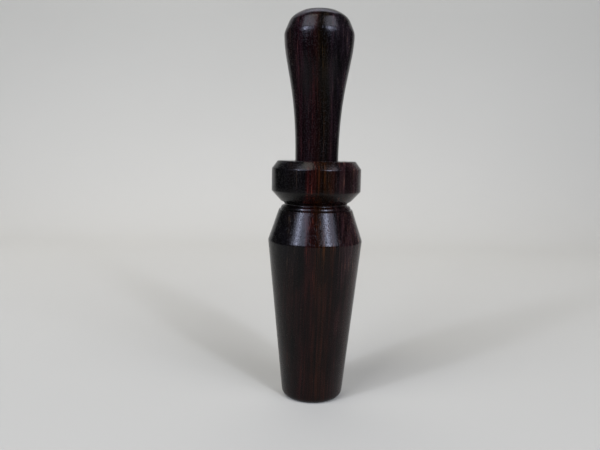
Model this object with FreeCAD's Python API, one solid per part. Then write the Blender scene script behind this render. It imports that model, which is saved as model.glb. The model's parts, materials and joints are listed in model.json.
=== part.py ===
"""A turned hardwood game call of the duck-call pattern, standing on its mouthpiece.

It has six pieces. The barrel is a tapered tube with a collar and a lanyard groove. The insert is a slim
flared stopper that pushes into the barrel, and its inner end is cut into a curved toneboard. A plastic reed
lies on the toneboard, a cork wedge jams the reed's tail in a slot, and two rubber rings seal the insert.

Millimetres. +Z runs along the call from the mouthpiece to the bell. The origin is on the axis, in the plane
of the mouthpiece's rim, which is the face that the call stands on. The reed faces -Y.
"""

import os

import FreeCAD
import Part

INCH = 25.4

# ---- barrel, outside: heights above the rim, and radii ----
barrel_length = 3.5 * INCH
rim_radius = 9.2
lip_rounding = 2.1
mouthpiece_radius = 11.3
shoulder_height = 59.7
shoulder_radius = 1.375 * INCH / 2
cone_top_height = 71.1
cone_top_radius = 13.6
step_depth = 0.9
step_rise = 0.1
bead_height = 71.4
bead_radius = 12.85
bead_fullness = 0.2
groove_height = 73.1
groove_radius = 11.6
groove_floor_length = 1.4
groove_floor_hollow = 0.35
collar_foot_height = 74.3
collar_foot_radius = 13.0
collar_low_edge_height = 77.95
collar_high_edge_height = 86.05
collar_radius = 16.42
collar_face_radius = 14.3

# ---- barrel, inside ----
bore_radius = 0.625 * INCH / 2
mouth_bore_radius = 6.75
mouth_bore_length = 14.0
bore_step_length = 1.6
mouth_flare = 1.3
bore_mouth_chamfer = 0.5

# ---- insert, outside the barrel: (height above the barrel, radius) stations of its waisted stem ----
fit_clearance = 0.05
tenon_radius = bore_radius - fit_clearance
stem_stations = [(9.5, 8.11), (19.0, 8.83), (28.4, 10.22), (37.8, 11.97)]
stem_foot_pull = 10.0
stem_head_pull = 8.0
bell_edge_height = 45.2
bell_edge_radius = 12.6
bell_crown_height = 50.1
bell_crown_radius = 10.5
bell_lip_height = 52.8
bell_lip_radius = 6.3
crown_bulge = 0.15

# ---- insert, inside the barrel ----
toneboard_tip_height = 22.0
tip_chamfer = 0.6
block_face_height = 55.0
slot_end_height = 69.0
board_level = 2.4
board_curve_radius = 280.0
slot_gap_front = 3.3
slot_gap_back = 2.7
channel_radius = 2.5
channel_end_gap = 5.0
channel_mouth_depth = 0.4
exhaust_radius = 4.0
exhaust_start_height = 74.0
exhaust_cone_length = 3.0
exhaust_flare_length = 9.0
exhaust_flare_radius = 5.3
exhaust_flare_middle_depth = 4.05
exhaust_flare_middle_radius = 4.28

# ---- seal rings, reed and wedge ----
ring_heights = [76.0, 84.0]
ring_section_radius = 0.885
ring_groove_width = 2.4
ring_clearance = 0.02
reed_thickness = 0.3
reed_tail_width = 12.4
reed_tip_width = 11.6
reed_tip_setback = 1.6
reed_corner = 1.8
reed_tail_gap = 0.2
seat_clearance = 0.01
wedge_width = 9.6
wedge_proud = 1.5
wedge_back_gap = 0.4

# ---- worked out from the sizes above ----
bell_base = barrel_length
clamp_height = block_face_height - wedge_proud
ring_centre_radius = bore_radius - ring_clearance - ring_section_radius
ring_groove_radius = ring_centre_radius - ring_section_radius - ring_clearance
reed_tail_height = slot_end_height - reed_tail_gap
reed_tip_height = toneboard_tip_height + reed_tip_setback
reed_under = board_level + seat_clearance
reed_over = reed_under + reed_thickness
slot_roof_slope = (slot_gap_front - slot_gap_back) / (slot_end_height - block_face_height)

# ---- cutters: how far they reach from the axis, and how far they run past a face ----
REACH = 20.0
PAST = 1.0

# The middle of a quarter circle stands this share of the way from its chord to its corner.
QUARTER_BOW = 2**0.5 - 1


def point(radius, height):
    """A point of a turned outline, in the XZ plane."""
    return FreeCAD.Vector(radius, 0, height)


def line(a, b):
    return Part.LineSegment(a, b).toShape()


def arc(a, middle, b):
    return Part.Arc(a, middle, b).toShape()


def turned(edges):
    """The solid that a closed outline sweeps in a full turn about Z."""
    face = Part.Face(Part.Wire(edges))
    return face.revolve(FreeCAD.Vector(0, 0, 0), FreeCAD.Vector(0, 0, 1), 360)


def chain(corners):
    """Straight edges from each corner to the next."""
    return [line(a, b) for a, b in zip(corners, corners[1:])]


def quarter_round(start, end, bulge_to):
    """A convex arc between two points, bowed towards a corner as a quarter circle is."""
    middle = (start + end) * 0.5
    return arc(start, middle + (bulge_to - middle) * QUARTER_BOW, end)


def barrel_outline():
    """Rim, long taper, shoulder cone, step and bead, lanyard groove, collar, and the stepped bore."""
    rim = point(rim_radius, 0)
    lip = point(mouthpiece_radius, lip_rounding)
    shoulder = point(shoulder_radius, shoulder_height)
    cone_top = point(cone_top_radius, cone_top_height)
    step = point(cone_top_radius - step_depth, cone_top_height + step_rise)
    bead = point(bead_radius, bead_height)
    floor_low = point(groove_radius + groove_floor_hollow, groove_height - groove_floor_length / 2)
    floor_mid = point(groove_radius, groove_height)
    floor_high = point(groove_radius + groove_floor_hollow, groove_height + groove_floor_length / 2)
    bead_side = (bead + floor_low) * 0.5 + FreeCAD.Vector(bead_fullness, 0, bead_fullness / 2)
    collar_foot = point(collar_foot_radius, collar_foot_height)
    collar_low = point(collar_radius, collar_low_edge_height)
    collar_high = point(collar_radius, collar_high_edge_height)
    collar_face = point(collar_face_radius, barrel_length)
    bore_chamfer = point(bore_radius + bore_mouth_chamfer, barrel_length)
    bore_top = point(bore_radius, barrel_length - bore_mouth_chamfer)
    bore_bottom = point(bore_radius, mouth_bore_length + bore_step_length)
    mouth_top = point(mouth_bore_radius, mouth_bore_length)
    mouth_low = point(mouth_bore_radius, mouth_flare)
    mouth_rim = point(mouth_bore_radius + mouth_flare, 0)
    edges = [quarter_round(rim, lip, point(mouthpiece_radius, 0))]
    edges += chain([lip, shoulder, cone_top, step, bead])
    edges += [arc(bead, bead_side, floor_low), arc(floor_low, floor_mid, floor_high)]
    edges += chain([floor_high, collar_foot, collar_low, collar_high, collar_face])
    edges += chain([collar_face, bore_chamfer, bore_top, bore_bottom, mouth_top, mouth_low])
    edges += [quarter_round(mouth_low, mouth_rim, point(mouth_bore_radius, 0))]
    edges += [line(mouth_rim, rim)]
    return edges


def make_barrel():
    return turned(barrel_outline())


def stem_curve():
    """The waisted stem: one smooth curve from the collar to the bell's edge, upright at both ends."""
    stations = [(0.0, tenon_radius)] + stem_stations + [(bell_edge_height, bell_edge_radius)]
    spline = Part.BSplineCurve()
    spline.interpolate(
        Points=[point(radius, bell_base + height) for height, radius in stations],
        InitialTangent=FreeCAD.Vector(0, 0, stem_foot_pull),
        FinalTangent=FreeCAD.Vector(0, 0, stem_head_pull),
    )
    return spline.toShape()


def insert_outline():
    """The solid blank of the insert: tenon with two ring grooves, stem, bell edge, crown and lip."""
    tip_axis = point(0, toneboard_tip_height)
    tip_in = point(tenon_radius - tip_chamfer, toneboard_tip_height)
    tip_out = point(tenon_radius, toneboard_tip_height + tip_chamfer)
    corners = [tip_axis, tip_in, tip_out]
    for height in ring_heights:
        low = height - ring_groove_width / 2
        high = height + ring_groove_width / 2
        corners += [point(tenon_radius, low), point(ring_groove_radius, low)]
        corners += [point(ring_groove_radius, high), point(tenon_radius, high)]
    corners.append(point(tenon_radius, bell_base))
    bell_edge = point(bell_edge_radius, bell_base + bell_edge_height)
    crown = point(bell_crown_radius, bell_base + bell_crown_height)
    lip = point(bell_lip_radius, bell_base + bell_lip_height)
    lip_axis = point(0, bell_base + bell_lip_height)
    bowed = (crown + lip) * 0.5 + FreeCAD.Vector(crown_bulge, 0, crown_bulge)
    edges = chain(corners) + [stem_curve(), line(bell_edge, crown), arc(crown, bowed, lip)]
    return edges + chain([lip, lip_axis, tip_axis])


def exhaust_passage():
    """The air's way out: a cone up from the tone channel, a long bore, and a flare in the bell."""
    lip_height = bell_base + bell_lip_height
    axis_foot = point(0, exhaust_start_height - exhaust_cone_length)
    cone_foot = point(channel_radius, exhaust_start_height - exhaust_cone_length)
    bore_foot = point(exhaust_radius, exhaust_start_height)
    flare_foot = point(exhaust_radius, lip_height - exhaust_flare_length)
    flare_middle = point(exhaust_flare_middle_radius, lip_height - exhaust_flare_middle_depth)
    flare_end = point(exhaust_flare_radius, lip_height)
    over = point(exhaust_flare_radius, lip_height + PAST)
    axis_over = point(0, lip_height + PAST)
    edges = chain([axis_foot, cone_foot, bore_foot, flare_foot])
    edges += [arc(flare_foot, flare_middle, flare_end)]
    edges += chain([flare_end, over, axis_over, axis_foot])
    return turned(edges)


def side_cut(edges):
    """A cutter right across the insert, from an outline in the plane x = 0."""
    face = Part.Face(Part.Wire(edges))
    face.translate(FreeCAD.Vector(-REACH, 0, 0))
    return face.extrude(FreeCAD.Vector(2 * REACH, 0, 0))


def side_point(level, height):
    """A point at a level above the axis, towards the reed, in the plane x = 0."""
    return FreeCAD.Vector(0, -level, height)


def board_drop(height):
    """How far the toneboard's face has curved away from the reed at a height."""
    run = clamp_height - height
    return board_curve_radius - (board_curve_radius**2 - run**2) ** 0.5


def toneboard_cut():
    """What is cut away over the toneboard, whose face curves down from the clamp line to the tip."""
    below = toneboard_tip_height - PAST
    half_way = (clamp_height + below) / 2
    start = side_point(board_level, clamp_height)
    middle = side_point(board_level - board_drop(half_way), half_way)
    end = side_point(board_level - board_drop(below), below)
    block_foot = side_point(board_level, block_face_height)
    edges = [line(block_foot, start), arc(start, middle, end)]
    edges += chain([end, side_point(REACH, below), side_point(REACH, block_face_height), block_foot])
    return side_cut(edges)


def wedge_slot_cut():
    """The slot under the block that takes the reed's tail and the wedge. Its roof closes in to the back."""
    front = block_face_height - PAST
    roof_front = board_level + slot_gap_front + slot_roof_slope * PAST
    roof_back = board_level + slot_gap_back
    corners = [side_point(board_level, front), side_point(board_level, slot_end_height)]
    corners += [side_point(roof_back, slot_end_height), side_point(roof_front, front)]
    return side_cut(chain(corners + corners[:1]))


def tone_channel():
    """A round-bottomed channel under the reed, closed short of the tip, that leads into the exhaust."""
    foot = toneboard_tip_height + channel_end_gap + channel_radius
    top = exhaust_start_height - exhaust_cone_length
    up = FreeCAD.Vector(0, 0, 1)
    out = FreeCAD.Vector(0, -1, 0)
    round_part = Part.makeCylinder(channel_radius, top - foot, FreeCAD.Vector(0, 0, foot), up)
    ball = Part.makeSphere(channel_radius, FreeCAD.Vector(0, 0, foot))
    mouth_level = board_level + channel_mouth_depth
    mouth_end = Part.makeCylinder(channel_radius, mouth_level, FreeCAD.Vector(0, 0, foot), out)
    mouth = Part.makeBox(2 * channel_radius, mouth_level, slot_end_height - foot)
    mouth.translate(FreeCAD.Vector(-channel_radius, -mouth_level, foot))
    return round_part.fuse([ball, mouth_end, mouth])


def make_insert():
    blank = turned(insert_outline())
    return blank.cut([exhaust_passage(), toneboard_cut(), wedge_slot_cut(), tone_channel()])


def make_seal_ring(height):
    centre = FreeCAD.Vector(0, 0, height)
    return Part.makeTorus(ring_centre_radius, ring_section_radius, centre, FreeCAD.Vector(0, 0, 1))


def make_reed():
    """A flat strip that narrows a little to its tip, where both corners are clipped."""
    tail, tip = reed_tail_width / 2, reed_tip_width / 2
    corners = [(-tail, reed_tail_height), (tail, reed_tail_height), (tip, reed_tip_height + reed_corner)]
    corners += [(tip - reed_corner, reed_tip_height), (reed_corner - tip, reed_tip_height)]
    corners += [(-tip, reed_tip_height + reed_corner)]
    ring = [FreeCAD.Vector(x, -reed_under, z) for x, z in corners]
    face = Part.Face(Part.Wire(chain(ring + ring[:1])))
    return face.extrude(FreeCAD.Vector(0, -reed_thickness, 0))


def make_cork_wedge():
    """A cork block on the reed's tail. Its top follows the slot's roof, and it stands proud of the block."""
    front = clamp_height
    back = slot_end_height - wedge_back_gap
    under = reed_over + seat_clearance
    roof_front = board_level + slot_gap_front + slot_roof_slope * wedge_proud - seat_clearance
    roof_back = board_level + slot_gap_back + slot_roof_slope * wedge_back_gap - seat_clearance
    corners = [side_point(under, front), side_point(under, back)]
    corners += [side_point(roof_back, back), side_point(roof_front, front)]
    face = Part.Face(Part.Wire(chain(corners + corners[:1])))
    face.translate(FreeCAD.Vector(-wedge_width / 2, 0, 0))
    return face.extrude(FreeCAD.Vector(wedge_width, 0, 0))


def save(name, shape):
    solids = shape.Solids
    if len(solids) != 1 or not solids[0].isValid():
        raise ValueError(f"{name} is not one valid solid")
    solids[0].exportStep(f"parts/{name}.step")
    print(f"{name}: {solids[0].Volume / 1000:.2f} cm3")


def main():
    os.makedirs("parts", exist_ok=True)
    save("barrel", make_barrel())
    save("insert", make_insert())
    for name, height in zip(["seal_ring_lower", "seal_ring_upper"], ring_heights):
        save(name, make_seal_ring(height))
    save("reed", make_reed())
    save("cork_wedge", make_cork_wedge())


main()
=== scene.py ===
# %% [markdown]
# # A turned duck call in dark rosewood
# A duck call is a small wind instrument that a hunter blows. Breath goes in at the narrow
# mouthpiece, which is the end that it stands on here. It runs up the barrel, over a plastic reed
# inside, and out through the bell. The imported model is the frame: it says how big each piece is and
# which body it moves with. Its CAD pieces are replaced one by one with finer ones of the same size.

# %% Load the frame
import json
import math

import bmesh
import bpy
from mathutils import Euler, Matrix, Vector
from mathutils.geometry import interpolate_bezier

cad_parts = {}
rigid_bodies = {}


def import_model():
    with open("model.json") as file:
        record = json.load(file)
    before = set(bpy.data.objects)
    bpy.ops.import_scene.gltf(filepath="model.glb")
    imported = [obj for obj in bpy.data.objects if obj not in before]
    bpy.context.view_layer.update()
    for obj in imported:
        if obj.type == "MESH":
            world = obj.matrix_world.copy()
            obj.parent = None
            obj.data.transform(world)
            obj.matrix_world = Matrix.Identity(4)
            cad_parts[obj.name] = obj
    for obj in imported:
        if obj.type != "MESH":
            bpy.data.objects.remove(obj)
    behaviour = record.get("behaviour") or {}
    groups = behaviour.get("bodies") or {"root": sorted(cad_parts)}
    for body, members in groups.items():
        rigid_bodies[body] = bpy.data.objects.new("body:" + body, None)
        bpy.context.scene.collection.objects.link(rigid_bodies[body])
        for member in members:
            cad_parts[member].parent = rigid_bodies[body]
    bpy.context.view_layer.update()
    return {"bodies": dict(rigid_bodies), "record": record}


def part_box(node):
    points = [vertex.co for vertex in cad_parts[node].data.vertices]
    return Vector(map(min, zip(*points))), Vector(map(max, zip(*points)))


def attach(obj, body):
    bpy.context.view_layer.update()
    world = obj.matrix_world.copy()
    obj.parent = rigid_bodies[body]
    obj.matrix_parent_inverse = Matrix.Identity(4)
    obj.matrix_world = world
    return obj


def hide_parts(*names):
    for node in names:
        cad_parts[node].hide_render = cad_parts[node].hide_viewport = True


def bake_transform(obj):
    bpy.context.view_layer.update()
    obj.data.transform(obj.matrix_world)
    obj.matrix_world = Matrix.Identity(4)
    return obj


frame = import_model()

MM = 0.001
bodies = sorted(frame["bodies"])
print("Bodies:", ", ".join(bodies))

# %% [markdown]
# ## Sizes that the frame gives
# A box round a CAD piece gives its length and its widest radius, the mounts give the bores, and the
# reed's joint gives the line where the wedge lets go of the reed. Everything is kept in millimetres
# while a piece is being made, because that is how a turner thinks, and it is turned into metres as
# the piece is finished.

# %% Read the frame's sizes


def size_of(node):
    """The lowest and highest corners of a CAD piece, in millimetres."""
    low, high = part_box(node)
    return [value / MM for value in low], [value / MM for value in high]


mounts = {mount["name"]: mount for mount in frame["record"]["mounts"]}
joints = {joint["name"]: joint for joint in frame["record"]["behaviour"]["joints"]}

barrel_high = size_of("barrel")[1]
insert_low, insert_high = size_of("insert")
barrel_length = barrel_high[2]
shoulder_radius = barrel_high[0]
tip_height = insert_low[2]
bell_top = insert_high[2]
bell_edge_radius = insert_high[0]
mouth_bore = mounts["mouthpiece_bore"]["dims"]["r_mm"]
exhaust_bore = mounts["exhaust_bore"]["dims"]["r_mm"]
clamp_height = joints["reed_flex"]["pos_m"][2] / MM
print(f"Barrel {barrel_length:.1f} mm long and {2 * shoulder_radius:.1f} mm across")
print(f"Call {bell_top:.1f} mm tall")

# %% [markdown]
# ## How a turned piece is made
# A lathe makes a shape that is the same all the way round, so one half outline says everything. The
# outline here is a short list of corners, each with a radius, a height and how far its corner is
# rounded. Vertex bevels round the corners, long runs are divided so that light slides evenly over
# them, and one full spin sweeps the outline into a surface. A lathed curve from a Screw modifier
# would look the same, but a spin leaves a plain mesh that other tools can cut.

# %% Define the turning tools
SPIN_STEPS = 160
CORNER_STEPS = 5
LONGEST_ROW = 1.6
MERGE_GAP = 0.0008
WOOD_CREASE = 35


def smooth(mesh, crease):
    """Shades a mesh smoothly, and keeps the edges that are sharper than the crease in degrees."""
    mesh.shade_smooth()
    mesh.set_sharp_from_angle(angle=math.radians(crease))


def finished(name, bm, crease=WOOD_CREASE):
    """Scales a bmesh in millimetres to metres and makes it a smooth-shaded object at the origin."""
    bmesh.ops.scale(bm, vec=(MM, MM, MM), verts=bm.verts)
    mesh = bpy.data.meshes.new(name)
    bm.to_mesh(mesh)
    bm.free()
    smooth(mesh, crease)
    piece = bpy.data.objects.new(name, mesh)
    bpy.context.collection.objects.link(piece)
    return piece


def turned(name, corners, ring=False):
    """Spins (radius, height, rounding) corners round the axis. A ring's outline closes on itself.

    Points nearer than the merge gap become one, so that no rounding leaves slivers.
    """
    bm = bmesh.new()
    points = [bm.verts.new((radius, 0, height)) for radius, height, rounding in corners]
    pairs = list(zip(points, points[1:]))
    if ring:
        pairs.append((points[-1], points[0]))
    for pair in pairs:
        bm.edges.new(pair)
    for point, (radius, height, rounding) in zip(points, corners):
        if rounding:
            bmesh.ops.bevel(bm, geom=[point], offset=rounding, affect="VERTICES",
                            segments=CORNER_STEPS, profile=0.5, material=-1)
    for edge in [edge for edge in bm.edges if edge.calc_length() > LONGEST_ROW]:
        cuts = int(edge.calc_length() / LONGEST_ROW)
        bmesh.ops.subdivide_edges(bm, edges=[edge], cuts=cuts)
    bmesh.ops.spin(bm, geom=bm.verts[:] + bm.edges[:], cent=(0, 0, 0), axis=(0, 0, 1),
                   angle=2 * math.pi, steps=SPIN_STEPS, use_merge=True)
    bmesh.ops.remove_doubles(bm, verts=bm.verts, dist=MERGE_GAP)
    bmesh.ops.recalc_face_normals(bm, faces=bm.faces)
    piece = finished(name, bm)
    print(f"{name}: {len(piece.data.polygons)} faces from {len(corners)} corners")
    return piece


# %% [markdown]
# ## The barrel
# The barrel, the groove for the lanyard and the collar are one turning. From the mouthpiece up, the
# outline is a rounded rim, a long taper to the shoulder, a steeper cone, a small step with a bead
# over it, the groove, and a collar with a chamfer on each edge. Then it goes down the inside: the
# 5/8 inch bore, and the smaller hole that the lips close over.

# %% Turn the barrel
bore_radius = 7.9375
bore_chamfer = 0.5
mouthpiece_radius = 11.3
shoulder_height = 59.7
collar_radius = 16.42

mouth_end = [
    (mouthpiece_radius, 0, 2.1),
    (shoulder_radius, shoulder_height, 0.35),
]
cone_top = [
    (13.6, 71.1, 0.12),
    (12.72, 71.18, 0.05),
]
bead = [
    (12.94, 71.62, 0.12),
    (12.72, 72.3, 0.25),
    (12.1, 72.65, 0.35),
    (11.66, 72.8, 0.2),
]
lanyard_groove = [
    (11.58, 73.2, 0.25),
    (11.95, 73.8, 0.3),
    (13.0, 74.3, 0.15),
]
collar = [
    (collar_radius, 77.95, 0.2),
    (collar_radius, 86.05, 0.22),
    (14.3, barrel_length, 0.2),
]
inside = [
    (bore_radius + bore_chamfer, barrel_length, 0.1),
    (bore_radius, barrel_length - bore_chamfer, 0.1),
    (bore_radius, 15.6, 0.2),
    (mouth_bore, 14.0, 0.2),
    (mouth_bore, 0, 1.3),
]
barrel_corners = mouth_end + cone_top + bead + lanyard_groove + collar + inside
barrel = turned("barrel_wood", barrel_corners, ring=True)

# %% [markdown]
# ## The insert's blank
# The insert is turned too: a straight tenon with two grooves for the rubber rings, a waisted stem,
# a soft bell edge, and a domed end. The stem is one Bezier curve, upright at both ends, because
# that is how a gouge sweeps it. The outline starts and ends on the axis, so the air passage inside
# is part of the same spin.

# %% Turn the insert's blank
tenon_radius = bore_radius - 0.05
tenon_chamfer = 0.6
bell_edge_height = barrel_length + 45.2
stem_rise = 27.3
stem_fall = 11.4
STEM_STEPS = 30
ring_heights = [76.0, 84.0]
ring_groove_radius = 6.13
ring_groove_width = 2.4
channel_radius = 2.5
channel_foot = tip_height + 5.0
channel_head = 71.0
exhaust_foot = 74.0

stem = interpolate_bezier(
    Vector((tenon_radius, barrel_length, 0)),
    Vector((tenon_radius, barrel_length + stem_rise, 0)),
    Vector((bell_edge_radius, bell_edge_height - stem_fall, 0)),
    Vector((bell_edge_radius, bell_edge_height, 0)),
    STEM_STEPS,
)

tenon = [
    (0, tip_height, 0),
    (tenon_radius - tenon_chamfer, tip_height, 0.1),
    (tenon_radius, tip_height + tenon_chamfer, 0.1),
]
for height in ring_heights:
    low = height - ring_groove_width / 2
    high = height + ring_groove_width / 2
    tenon += [(tenon_radius, low, 0.08), (ring_groove_radius, low, 0.12)]
    tenon += [(ring_groove_radius, high, 0.12), (tenon_radius, high, 0.08)]
bell = [
    (bell_edge_radius, bell_edge_height, 0.8),
    (10.5, barrel_length + 50.1, 1.1),
    (8.58, barrel_length + 51.65, 1.0),
    (6.3, bell_top, 0.3),
]
air_passage = [
    (5.3, bell_top, 0.25),
    (4.3, bell_top - 4.0, 1.8),
    (exhaust_bore, bell_top - 9.0, 1.8),
    (exhaust_bore, exhaust_foot, 0.3),
    (channel_radius, channel_head, 0.3),
    (channel_radius, channel_foot, 0.98 * channel_radius),
    (0, channel_foot, 0),
]
insert_corners = tenon + [(point.x, point.y, 0) for point in stem[:-1]] + bell + air_passage
insert = turned("insert_wood", insert_corners)

# %% [markdown]
# ## The toneboard and the wedge's slot
# Below the rings, a saw and a file open the tenon: one side is cut away to leave the toneboard,
# whose face curves gently away from the reed, and a slot is cut above it for the reed's tail and
# the wedge. The tone channel is opened along the board. Each cut is a flat outline pushed into a
# block, taken away with a Boolean. A block reaches well past the wood, and one cut overlaps the
# next, so that no thin skin is left between them.

# %% Define the cutting tools
REACH = 20.0
OVERLAP = 1.0


def prism(name, outline, depth):
    """Fills a flat outline of points and pushes it by a depth vector into a closed block."""
    bm = bmesh.new()
    face = bmesh.ops.contextual_create(bm, geom=[bm.verts.new(point) for point in outline])["faces"]
    pushed = bmesh.ops.extrude_face_region(bm, geom=face, use_keep_orig=True)["geom"]
    moved = [part for part in pushed if isinstance(part, bmesh.types.BMVert)]
    bmesh.ops.translate(bm, vec=depth, verts=moved)
    bmesh.ops.recalc_face_normals(bm, faces=bm.faces)
    return finished(name, bm)


def cut_away(piece, cutter):
    """Takes the cutter's block out of the piece, and leaves a plain mesh."""
    boolean = piece.modifiers.new("cut", "BOOLEAN")
    boolean.operation = "DIFFERENCE"
    boolean.solver = "EXACT"
    boolean.object = cutter
    ready = piece.evaluated_get(bpy.context.evaluated_depsgraph_get())
    mesh = bpy.data.meshes.new_from_object(ready)
    piece.modifiers.clear()
    piece.data = mesh
    bpy.data.objects.remove(cutter)
    smooth(mesh, WOOD_CREASE)


# %% Cut the toneboard, the slot and the channel's mouth
board_level = 2.4
board_curve_radius = 280.0
BOARD_STEPS = 24
block_face = 55.0
slot_end = 69.0
slot_gap_front = 3.3
slot_gap_back = 2.7


def board_point(height):
    """A point of the toneboard's curved face, in the plane of its left edge."""
    run = clamp_height - height
    drop = board_curve_radius - math.sqrt(board_curve_radius**2 - run**2)
    return (-REACH, drop - board_level, height)


cut_foot = tip_height - OVERLAP
board_run = cut_foot - clamp_height
across = (2 * REACH, 0, 0)
board_outline = [
    board_point(clamp_height + board_run * step / BOARD_STEPS)
    for step in range(BOARD_STEPS + 1)
]
board_outline += [
    (-REACH, -REACH, cut_foot),
    (-REACH, -REACH, block_face),
    (-REACH, -board_level, block_face),
]
cut_away(insert, prism("board_cut", board_outline, across))

slot_outline = [
    (-REACH, -board_level, block_face - OVERLAP),
    (-REACH, -board_level, slot_end),
    (-REACH, -board_level - slot_gap_back, slot_end),
    (-REACH, -board_level - slot_gap_front, block_face - OVERLAP),
]
cut_away(insert, prism("slot_cut", slot_outline, across))

ARC_STEPS = 24
mouth_depth = board_level + 0.4
mouth_centre = channel_foot + channel_radius
half_turn = [math.pi * step / ARC_STEPS for step in range(ARC_STEPS + 1)]
mouth_outline = []
for angle in half_turn:
    side, drop = channel_radius * math.cos(angle), channel_radius * math.sin(angle)
    mouth_outline.append((-side, -mouth_depth, mouth_centre - drop))
mouth_outline += [
    (channel_radius, -mouth_depth, slot_end),
    (-channel_radius, -mouth_depth, slot_end),
]
cut_away(insert, prism("mouth_cut", mouth_outline, (0, mouth_depth, 0)))
print(f"insert_wood: {len(insert.data.polygons)} faces after its cuts")

# %% [markdown]
# ## The sealing rings
# Two rubber rings sit in the tenon's grooves. They grip the bore, so the insert stays where it is
# pushed. A ring is turned like the wood: a square outline whose corners are rounded until they meet
# is a circle.

# %% Turn the sealing rings
nearly_half = 0.49
seal_rings = []
for node_name in ["seal_ring_lower", "seal_ring_upper"]:
    ring_low, ring_high = size_of(node_name)
    outer = ring_high[0]
    thickness = ring_high[2] - ring_low[2]
    rounding = nearly_half * thickness
    square = [
        (outer, ring_low[2], rounding),
        (outer, ring_high[2], rounding),
        (outer - thickness, ring_high[2], rounding),
        (outer - thickness, ring_low[2], rounding),
    ]
    seal_rings.append(turned(node_name + "_rubber", square, ring=True))

# %% [markdown]
# ## The reed
# The reed is a strip of clear polyester film, cut with scissors, that narrows a little to a tip
# with clipped corners. It is a thin prism, divided by cross cuts along its length.

# %% Cut the reed
REED_CUTS = 48
reed_low, reed_high = size_of("reed")
film_thickness = reed_high[1] - reed_low[1]
reed_length = reed_high[2] - reed_low[2]
tail = reed_high[0]
tip = tail - 0.4
clipped = 1.8
reed_outline = [
    (-tail, reed_low[1], reed_high[2]),
    (tail, reed_low[1], reed_high[2]),
    (tip, reed_low[1], reed_low[2] + clipped),
    (tip - clipped, reed_low[1], reed_low[2]),
    (clipped - tip, reed_low[1], reed_low[2]),
    (-tip, reed_low[1], reed_low[2] + clipped),
]
reed = prism("reed_film", reed_outline, (0, film_thickness, 0))

bm = bmesh.new()
bm.from_mesh(reed.data)
for step in range(1, REED_CUTS):
    height = reed_low[2] + reed_length * step / REED_CUTS
    everything = bm.verts[:] + bm.edges[:] + bm.faces[:]
    bmesh.ops.bisect_plane(bm, geom=everything, plane_co=(0, 0, height * MM), plane_no=(0, 0, 1))
bm.to_mesh(reed.data)
bm.free()
print(f"reed_film: {len(reed.data.polygons)} faces")

# %% [markdown]
# ## The cork wedge
# A block of cork jams the reed's tail in the slot. It is a cube that is pressed to the slot's
# taper, with eased edges, and its skin is pitted inwards the way cut cork is, so it never grows out
# of its place.

# %% Press the cork wedge to shape
CORK_CUTS = 24
CORK_CREASE = 60
eased_edge = 0.18
pit_width = 0.9
pit_depth = 0.22
cork_low, cork_high = size_of("cork_wedge")
cork_middle = [(low + high) / 2 for low, high in zip(cork_low, cork_high)]
bm = bmesh.new()
bmesh.ops.create_cube(bm, size=1)
for corner in bm.verts:
    for axis in range(3):
        corner.co[axis] = cork_high[axis] if corner.co[axis] > 0 else cork_low[axis]
slot_roof = -board_level - slot_gap_back - 0.01
deep_end = [v for v in bm.verts if v.co.z > cork_middle[2] and v.co.y < cork_middle[1]]
bmesh.ops.translate(bm, vec=(0, slot_roof - cork_low[1], 0), verts=deep_end)
bmesh.ops.bevel(bm, geom=bm.edges[:], offset=eased_edge, affect="EDGES",
                segments=2, profile=0.5, material=-1)
bmesh.ops.triangulate(bm, faces=[face for face in bm.faces if len(face.verts) > 4])
long_edges = [edge for edge in bm.edges if edge.calc_length() > 1]
bmesh.ops.subdivide_edges(bm, edges=long_edges, cuts=CORK_CUTS, use_grid_fill=True)
cork = finished("cork_wedge_block", bm, crease=CORK_CREASE)
pits = bpy.data.textures.new("cork_pits", "CLOUDS")
pits.noise_scale = pit_width * MM
pitting = cork.modifiers.new("pits", "DISPLACE")
pitting.texture = pits
pitting.strength = pit_depth * MM
pitting.mid_level = 1.0
print(f"cork_wedge_block: {len(cork.data.polygons)} faces")

# %% [markdown]
# ## Node helpers for the finishes
# Each finish is a node graph. These helpers add a node, type in its values and link its inputs, so
# that a finish reads like a recipe. Every pattern reads Object coordinates in millimetres, as if
# the piece were cut from a solid plank, so grain runs through the piece and comes out right on end
# faces too.

# %% Define the node helpers


def add(tree, kind, inputs=None, **settings):
    """Adds a shader node. Inputs are typed in, or linked where they are another node's output."""
    made = tree.nodes.new("ShaderNode" + kind)
    for name, value in settings.items():
        setattr(made, name, value)
    for key, value in (inputs or {}).items():
        if isinstance(value, bpy.types.NodeSocket):
            tree.links.new(value, made.inputs[key])
        else:
            made.inputs[key].default_value = value
    return made


def start_finish(name):
    """A new material, its node tree and its main shader."""
    material = bpy.data.materials.new(name)
    material.use_nodes = True
    return material, material.node_tree, material.node_tree.nodes["Principled BSDF"]


def plank_space(tree):
    """Object coordinates in millimetres, as a place in the plank that the piece was cut from."""
    place = add(tree, "TexCoord").outputs["Object"]
    return add(tree, "Mapping", {"Vector": place, "Scale": (1 / MM,) * 3}).outputs["Vector"]


def vector_step(tree, operation, a, b):
    """One step of sums on vectors."""
    return add(tree, "VectorMath", {0: a, 1: b}, operation=operation).outputs["Vector"]


def scaled(tree, vector, factor):
    """A vector or colour, times a number."""
    sockets = {0: vector, "Scale": factor}
    return add(tree, "VectorMath", sockets, operation="SCALE").outputs["Vector"]


def number_step(tree, operation, a, b):
    """One step of sums on numbers."""
    return add(tree, "Math", {0: a, 1: b}, operation=operation).outputs["Value"]


def remap(tree, value, low, high, new_low, new_high):
    """Moves a value evenly from one range to another, and holds it at the new range's ends."""
    sockets = {"Value": value, "From Min": low, "From Max": high}
    sockets.update({"To Min": new_low, "To Max": new_high})
    return add(tree, "MapRange", sockets).outputs["Result"]


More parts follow.
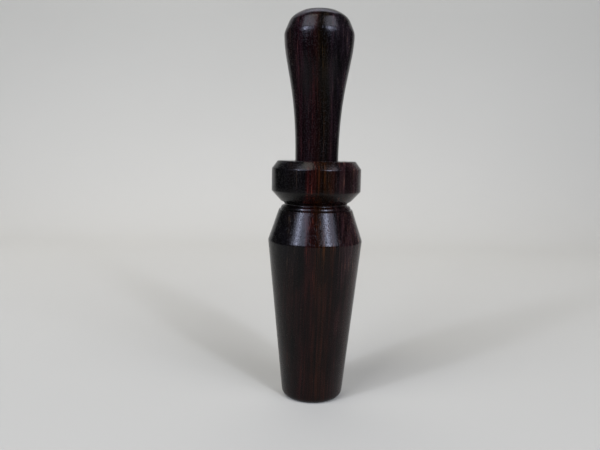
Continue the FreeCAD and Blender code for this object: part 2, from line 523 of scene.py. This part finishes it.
def noise(tree, place, scale, detail=2.0, roughness=0.5):
    """A soft random pattern, as a node. Detail adds finer layers."""
    sockets = {"Vector": place, "Scale": scale, "Detail": detail, "Roughness": roughness}
    return add(tree, "TexNoise", sockets)


def noise_value(tree, place, scale, detail=2.0, roughness=0.5):
    """The same pattern's grey value."""
    return noise(tree, place, scale, detail, roughness).outputs["Fac"]


def blend_colours(tree, amount, a, b):
    """Goes from colour a to colour b as the amount goes from 0 to 1."""
    return add(tree, "Mix", {0: amount, 6: a, 7: b}, data_type="RGBA").outputs[2]


def ramp(tree, value, stops):
    """A colour ramp from (position, colour) stops."""
    made = add(tree, "ValToRGB", {"Fac": value})
    elements = made.color_ramp.elements
    while len(elements) < len(stops):
        elements.new(0.5)
    for element, (position, colour) in zip(elements, stops):
        element.position = position
        element.color = (*colour, 1)
    return made.outputs["Color"]


def fade(tree, value, low, high):
    """Rises smoothly from 0 to 1 as the value goes from low to high."""
    sockets = {"Value": value, "From Min": low, "From Max": high}
    return add(tree, "MapRange", sockets, interpolation_type="SMOOTHSTEP").outputs["Result"]


def grain_space(tree, place, lean, cell):
    """Turns the plank to its growth layers, and makes one unit a cell of that size in mm."""
    sockets = {"Vector": place, "Rotation": (0, 0, math.atan(lean)), "Scale": cell}
    return add(tree, "Mapping", sockets, vector_type="TEXTURE").outputs["Vector"]


def bump(tree, height, depth, normal=None):
    """Relief of that depth in millimetres, laid over another relief where one is given."""
    sockets = {"Height": height, "Distance": depth * MM, "Strength": 1.0}
    if normal:
        sockets["Normal"] = normal
    return add(tree, "Bump", sockets).outputs["Normal"]


# %% [markdown]
# ## Dark rosewood
# Rosewood is almost black, with growth layers of purple, red and orange-brown that lie side by side
# like the pages of a book. A turning cuts through them, so every layer shows as a band that runs
# from end to end of the call. The recipe follows that: a ramp says which layers come one after
# another across the trunk, noise that is stretched along the trunk breaks them into streaks and
# hair-fine lines, a slow cloud makes them darker and lighter along their way, and stretched cells
# make the open pores, which stay dull and sink below the polish. Faint lathe rings and fine dull
# specks break the polish up.

# %% Mix the rosewood finish
TRUNK_WIDTH = 36.0
PORE_COLOUR = (0.001, 0.0008, 0.0008, 1)
ROSEWOOD_IOR = 1.25


def rosewood(name, lean, front, layers, plain, ember, figure_heights):
    """Polished rosewood, figured more and more from the lower to the upper figure height.

    Layers are (millimetres across the front, colour); a pale stop may also hold painted sheen, as the
    insert's outer left stops do. Plain is the colour of calm wood, and ember brightens its finest
    streaks. Lean is how far the layers run aslant through the trunk, and front is the radius at which
    their millimetres are true.
    """
    material, tree, shader = start_finish(name)
    place = plank_space(tree)
    wander = noise(tree, vector_step(tree, "MULTIPLY", place, (0.07, 0.07, 0.012)), 1.0, 2.0)
    sway = vector_step(tree, "SUBTRACT", wander.outputs["Color"], (0.5, 0.5, 0.5))
    fibre = vector_step(tree, "ADD", place, vector_step(tree, "MULTIPLY", sway, (2.2, 2.2, 0.0)))

    sockets = {0: fibre, 1: (1.0, lean, 0.0)}
    across = add(tree, "VectorMath", sockets, operation="DOT_PRODUCT").outputs["Value"]
    middle = 0.5 + lean * front / TRUNK_WIDTH
    page = number_step(tree, "ADD", number_step(tree, "DIVIDE", across, TRUNK_WIDTH), middle)
    colour = ramp(tree, page, [(0.5 + width / TRUNK_WIDTH, tone) for width, tone in layers])

    streak = noise_value(tree, grain_space(tree, fibre, lean, (0.6, 4.0, 60.0)), 1.0, 3.0, 0.7)
    hair = noise_value(tree, grain_space(tree, fibre, lean, (0.34, 1.2, 7.0)), 1.0, 2.0, 0.6)
    height = add(tree, "SeparateXYZ", {"Vector": place}).outputs["Z"]
    figure = fade(tree, height, *figure_heights)
    calm = blend_colours(tree, 0.6, colour, (*plain, 1))
    colour = blend_colours(tree, figure, calm, colour)

    cloud = noise_value(tree, vector_step(tree, "MULTIPLY", place, (0.24, 0.24, 0.08)), 1.0, 2.0)
    shade = number_step(tree, "MULTIPLY", remap(tree, streak, 0.37, 0.64, 0.22, 1.9),
                        remap(tree, cloud, 0.36, 0.64, 0.6, 1.35))
    colour = scaled(tree, colour, shade)
    fine = fade(tree, hair, 0.52, 0.66)
    broad = fade(tree, streak, 0.45, 0.62)
    glow = number_step(tree, "MULTIPLY", fine, broad)
    glow_share = number_step(tree, "ADD", number_step(tree, "MULTIPLY", figure, 0.85), 0.15)
    glow = number_step(tree, "MULTIPLY", glow, glow_share)
    embers = scaled(tree, vector_step(tree, "MULTIPLY", colour, ember), glow)
    colour = vector_step(tree, "ADD", colour, embers)

    pore_place = vector_step(tree, "MULTIPLY", fibre, (1.0, 1.0, 0.09))
    cells = add(tree, "TexVoronoi", {"Vector": pore_place, "Scale": 1.25}).outputs["Distance"]
    pore = number_step(tree, "SUBTRACT", 1.0, fade(tree, cells, 0.06, 0.17))
    colour = blend_colours(tree, number_step(tree, "MULTIPLY", pore, 0.8), colour, PORE_COLOUR)
    tree.links.new(colour, shader.inputs["Base Color"])

    polish = number_step(tree, "ADD", number_step(tree, "MULTIPLY", hair, 0.08), 0.11)
    speck = fade(tree, noise_value(tree, place, 2.8, 1.0), 0.54, 0.64)
    dull = number_step(tree, "MULTIPLY", number_step(tree, "MAXIMUM", pore, speck), 0.22)
    tree.links.new(number_step(tree, "ADD", polish, dull), shader.inputs["Roughness"])

    lathe_rings = noise_value(tree, vector_step(tree, "MULTIPLY", place, (0.0, 0.0, 1.0)), 2.6, 2.0)
    normal = bump(tree, lathe_rings, 0.008)
    normal = bump(tree, noise_value(tree, place, 2.6, 1.0), 0.03, normal)
    normal = bump(tree, hair, 0.010, normal)
    normal = bump(tree, number_step(tree, "MULTIPLY", pore, -1.0), 0.03, normal)
    tree.links.new(normal, shader.inputs["Normal"])
    shader.inputs["IOR"].default_value = ROSEWOOD_IOR
    return material


barrel_layers = [
    (-17.0, (0.0016, 0.0014, 0.0016)),
    (-10.0, (0.0012, 0.0010, 0.0012)),
    (-8.5, (0.0026, 0.0016, 0.0014)),
    (-5.0, (0.0011, 0.0006, 0.0008)),
    (-3.6, (0.0064, 0.0010, 0.0009)),
    (-1.0, (0.0058, 0.0010, 0.0007)),
    (0.2, (0.0090, 0.0022, 0.0006)),
    (1.4, (0.0022, 0.0008, 0.0003)),
    (2.3, (0.0092, 0.0027, 0.0005)),
    (3.8, (0.0028, 0.0010, 0.0003)),
    (5.5, (0.0078, 0.0019, 0.0007)),
    (7.0, (0.0030, 0.0011, 0.0013)),
    (8.6, (0.0088, 0.0036, 0.0037)),
    (12.0, (0.0100, 0.0042, 0.0044)),
    (15.0, (0.0160, 0.0080, 0.0080)),
]
insert_layers_and_sheen = [
    # The two outer stops on the left are a pale grey over near-black wood: painted sheen that
    # lightens the insert's left side.
    (-16.0, (0.0090, 0.0045, 0.0050)),
    (-10.0, (0.0050, 0.0030, 0.0032)),
    (-7.5, (0.0062, 0.0018, 0.0026)),
    (-5.0, (0.0028, 0.0010, 0.0016)),
    (-2.8, (0.0058, 0.0013, 0.0016)),
    (-0.8, (0.0038, 0.0012, 0.0009)),
    (0.4, (0.0022, 0.0012, 0.0004)),
    (2.4, (0.0020, 0.0012, 0.0005)),
    (3.6, (0.0056, 0.0026, 0.0034)),
    (5.4, (0.0034, 0.0022, 0.0030)),
    (8.0, (0.0080, 0.0050, 0.0062)),
    (12.0, (0.0100, 0.0060, 0.0072)),
    (16.0, (0.0110, 0.0050, 0.0050)),
]
barrel_finish = rosewood(
    "rosewood_barrel", lean=0.22, front=15.0, layers=barrel_layers,
    plain=(0.0052, 0.0012, 0.0009), ember=(2.8, 3.2, 1.6), figure_heights=(38, 60),
)
insert_finish = rosewood(
    "rosewood_insert", lean=-0.3, front=10.0, layers=insert_layers_and_sheen,
    plain=(0.0036, 0.0014, 0.0014), ember=(2.2, 2.0, 1.0), figure_heights=(60, 125),
)
print("Two cuts of rosewood, one for each turning")

# %% [markdown]
# ## Rubber, polyester film and cork
# The rings are black rubber with a fine moulded skin. The reed is clear film that has gone slightly
# milky, with a frosted face from sanding. The cork is warm brown, with darker pores and pale
# grains.

# %% Mix the small pieces' finishes


def ring_rubber():
    """Black moulded rubber, with a faint mottle."""
    material, tree, shader = start_finish("black_rubber")
    place = plank_space(tree)
    mottle = noise_value(tree, place, 1.4, 3.0)
    dark, worn = (0.005, 0.005, 0.006, 1), (0.012, 0.012, 0.013, 1)
    colour = blend_colours(tree, fade(tree, mottle, 0.35, 0.7), dark, worn)
    tree.links.new(colour, shader.inputs["Base Color"])
    roughness = number_step(tree, "ADD", number_step(tree, "MULTIPLY", mottle, 0.2), 0.38)
    tree.links.new(roughness, shader.inputs["Roughness"])
    tree.links.new(bump(tree, noise_value(tree, place, 9.0, 2.0), 0.008), shader.inputs["Normal"])
    shader.inputs["IOR"].default_value = 1.3
    return material


def reed_plastic():
    """Clear film gone milky, with fine scratches along its length."""
    material, tree, shader = start_finish("polyester_film")
    place = plank_space(tree)
    haze = noise_value(tree, place, 0.5, 3.0)
    clear, milky = (0.30, 0.32, 0.31, 1), (0.42, 0.43, 0.40, 1)
    tree.links.new(blend_colours(tree, haze, clear, milky), shader.inputs["Base Color"])
    scratches = noise_value(tree, vector_step(tree, "MULTIPLY", place, (6.0, 1.0, 0.15)), 1.0, 3.0)
    roughness = number_step(tree, "ADD", number_step(tree, "MULTIPLY", scratches, 0.3), 0.08)
    tree.links.new(roughness, shader.inputs["Roughness"])
    tree.links.new(bump(tree, scratches, 0.004), shader.inputs["Normal"])
    shader.inputs["Transmission Weight"].default_value = 0.6
    shader.inputs["IOR"].default_value = 1.45
    return material


def cut_cork():
    """Warm brown cork: grains of three tones, with dark holes between them."""
    material, tree, shader = start_finish("cut_cork")
    place = plank_space(tree)
    grains = add(tree, "TexVoronoi", {"Vector": place, "Scale": 1.6}).outputs["Color"]
    grain_tone = add(tree, "RGBToBW", {"Color": grains}).outputs["Val"]
    tones = [(0.1, (0.15, 0.08, 0.038)), (0.5, (0.30, 0.18, 0.09)), (0.9, (0.42, 0.28, 0.16))]
    colour = ramp(tree, grain_tone, tones)
    holes = fade(tree, noise_value(tree, place, 1.3, 4.0, 0.7), 0.38, 0.32)
    colour = blend_colours(tree, holes, colour, (0.07, 0.03, 0.015, 1))
    tree.links.new(colour, shader.inputs["Base Color"])
    grit = noise_value(tree, place, 3.5, 4.0, 0.7)
    tree.links.new(bump(tree, grit, 0.1), shader.inputs["Normal"])
    shader.inputs["Roughness"].default_value = 0.85
    return material


rubber_finish = ring_rubber()
film_finish = reed_plastic()
cork_finish = cut_cork()
print("Finishes for the rings, the reed and the wedge")

# %% [markdown]
# ## Finish, ride and replace
# Each new piece gets its finish and stands for its CAD node. Every piece but the reed also rides on
# the body that moves it; the reed is put on no body.

# %% Put every piece on its body


def place_piece(piece, node, body, finish):
    """Gives a piece its finish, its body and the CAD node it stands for."""
    piece.data.materials.clear()
    piece.data.materials.append(finish)
    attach(piece, body)
    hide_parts(node)
    print(f"{piece.name} rides on {body} and stands for {node}")


place_piece(barrel, "barrel", "barrel", barrel_finish)
place_piece(insert, "insert", "insert", insert_finish)
place_piece(seal_rings[0], "seal_ring_lower", "seal_rings", rubber_finish)
place_piece(seal_rings[1], "seal_ring_upper", "seal_rings", rubber_finish)
place_piece(cork, "cork_wedge", "insert", cork_finish)

reed.data.materials.append(film_finish)
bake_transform(reed)
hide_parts("reed")

# %% [markdown]
# ## The paper sweep
# The call stands on a sheet of pale paper that curves up behind it with no corner. It is one
# outline, rounded at its bend and pushed sideways. A second, wider sheet just under it carries the
# pale floor further out. Polished wood would mirror that wide floor and look grey, so reflections
# don't see it. Both sheets are part of the stage, not of the object.

# %% Lay the paper
BEND_STEPS = 24
PAPER_DARK = (0.395, 0.382, 0.308, 1)
PAPER_LIGHT = (0.429, 0.416, 0.336, 1)
paper, tree, shader = start_finish("pale_paper")
shade = noise_value(tree, add(tree, "TexCoord").outputs["Object"], 3.0, 3.0)
tree.links.new(blend_colours(tree, shade, PAPER_DARK, PAPER_LIGHT), shader.inputs["Base Color"])
shader.inputs["Roughness"].default_value = 0.9
shader.inputs["Specular IOR Level"].default_value = 0.2


def paper_sheet(name, outline, width, bend_rounding):
    """A sheet that follows a (y, height) outline in metres, and bends at its middle corner."""
    bm = bmesh.new()
    points = [bm.verts.new((-width / 2, y, height)) for y, height in outline]
    for pair in zip(points, points[1:]):
        bm.edges.new(pair)
    bmesh.ops.bevel(bm, geom=[points[1]], offset=bend_rounding, affect="VERTICES",
                    segments=BEND_STEPS, profile=0.5, material=-1)
    pushed = bmesh.ops.extrude_edge_only(bm, edges=bm.edges[:])["geom"]
    moved = [part for part in pushed if isinstance(part, bmesh.types.BMVert)]
    bmesh.ops.translate(bm, vec=(width, 0, 0), verts=moved)
    bmesh.ops.recalc_face_normals(bm, faces=bm.faces)
    mesh = bpy.data.meshes.new(name)
    bm.to_mesh(mesh)
    bm.free()
    mesh.shade_smooth()
    mesh.materials.append(paper)
    sheet = bpy.data.objects.new(name, mesh)
    bpy.context.collection.objects.link(sheet)
    return sheet


bend = 0.28
far_level = -0.0004
near_outline = [(-0.42, 0), (0.62, 0), (0.66, 0.75)]
far_outline = [(-0.62, far_level), (0.63, far_level), (0.67, 0.75)]
paper_sheet("near_paper", near_outline, 1.2, bend)
far_paper = paper_sheet("far_paper", far_outline, 1.9, bend)
far_paper.visible_glossy = False
print("Two sheets of paper laid")

# %% [markdown]
# ## Light
# Two soft boxes stand in front, left and right, a little above the call. They draw the two broad
# streaks down the polished cone and throw the two soft shadows behind it, and a tall narrow lamp
# inside each makes its bright core. Two wings higher up light the shoulder of the bell, a small
# lamp over the left box catches the collar's top edge, a ceiling panel behind draws the rim of the
# crown, and a lamp that faces straight down brightens the paper behind the call. The room stays
# dim, so that the dark wood stays dark.

# %% Set the soft boxes
call_centre = Vector((0, 0, 0.07))


def soft_box(name, side_angle, rise_angle, distance, wide_angle, tall_angle, brightness, colour):
    """An area light that looks at the call. Angles are in degrees, as seen from the call.

    The way to it goes round from the front and up. Its width and height are the angles it fills.
    """
    side, rise = math.radians(side_angle), math.radians(rise_angle)
    level = math.cos(rise)
    way = Vector((math.sin(side) * level, -math.cos(side) * level, math.sin(rise)))
    light = bpy.data.lights.new(name, "AREA")
    light.shape = "RECTANGLE"
    light.size = 2 * distance * math.tan(math.radians(wide_angle) / 2)
    light.size_y = 2 * distance * math.tan(math.radians(tall_angle) / 2)
    light.energy = brightness * math.pi * light.size * light.size_y
    light.color = colour
    lamp = bpy.data.objects.new(name, light)
    lamp.location = call_centre + way * distance
    lamp.rotation_euler = way.to_track_quat("Z", "Y").to_euler()
    bpy.context.collection.objects.link(lamp)
    print(f"{name}: {light.energy:.1f} W")
    return lamp


cool = (0.70, 0.75, 1.0)
pale = (0.85, 0.85, 1.0)
warm = (1.0, 0.96, 0.88)
soft_boxes = [
    ("left_box", -43, 27, 1.25, 34, 26, 7.6, cool),
    ("left_lamp", -49, 27, 1.22, 5, 25, 34.0, cool),
    ("right_box", 38, 28, 1.25, 32, 26, 7.6, cool),
    ("right_lamp", 33, 28, 1.22, 5, 25, 36.0, cool),
    ("left_wing", -48, 53, 1.4, 34, 16, 5.8, pale),
    ("right_wing", 48, 53, 1.4, 32, 16, 5.6, pale),
    ("top_lamp", -45, 68, 1.6, 20, 12, 4.6, warm),
    ("ceiling_panel", -166, 54, 1.02, 56, 36, 0.9, pale),
    ("floor_lamp", -166, 58, 0.66, 62, 14, 1.5, pale),
]
lamps = {row[0]: soft_box(*row) for row in soft_boxes}
lamps["floor_lamp"].rotation_euler = (0, 0, 0)
lamps["floor_lamp"].data.spread = math.radians(80)

# %% Dim the room
room_light = 0.04
room_seen = 0.50
room = bpy.data.worlds.new("dim_room")
room.use_nodes = True
room_tree = room.node_tree
background = room_tree.nodes["Background"]
background.inputs["Color"].default_value = (1.0, 0.98, 0.95, 1)
seen = add(room_tree, "LightPath").outputs["Is Camera Ray"]
strength = remap(room_tree, seen, 0.0, 1.0, room_light, room_seen)
room_tree.links.new(strength, background.inputs["Strength"])
bpy.context.scene.world = room
print(f"The room lights the call at {room_light}")

# %% [markdown]
# ## Camera
# The camera looks slightly down from a little over the collar's height, close enough that the bell
# is seen from below and the mouthpiece from above. It stands a few millimetres left of the call and
# is rolled by a degree.

# %% Stand the camera
camera_data = bpy.data.cameras.new("camera")
camera_data.sensor_width = 36
camera_data.lens = 35.18
camera_place = (-0.00567, -0.21665, 0.0930)
camera = bpy.data.objects.new("camera", camera_data)
camera.location = camera_place
look_down = math.radians(7.35)
roll = math.radians(1.105)
aim = Euler((math.pi / 2 - look_down, 0, 0)).to_matrix() @ Euler((0, 0, roll)).to_matrix()
camera.rotation_euler = aim.to_euler()
bpy.context.collection.objects.link(camera)
bpy.context.scene.camera = camera
bpy.context.scene.view_settings.view_transform = "Standard"
print("Camera stands", tuple(round(value, 4) for value in camera.location))
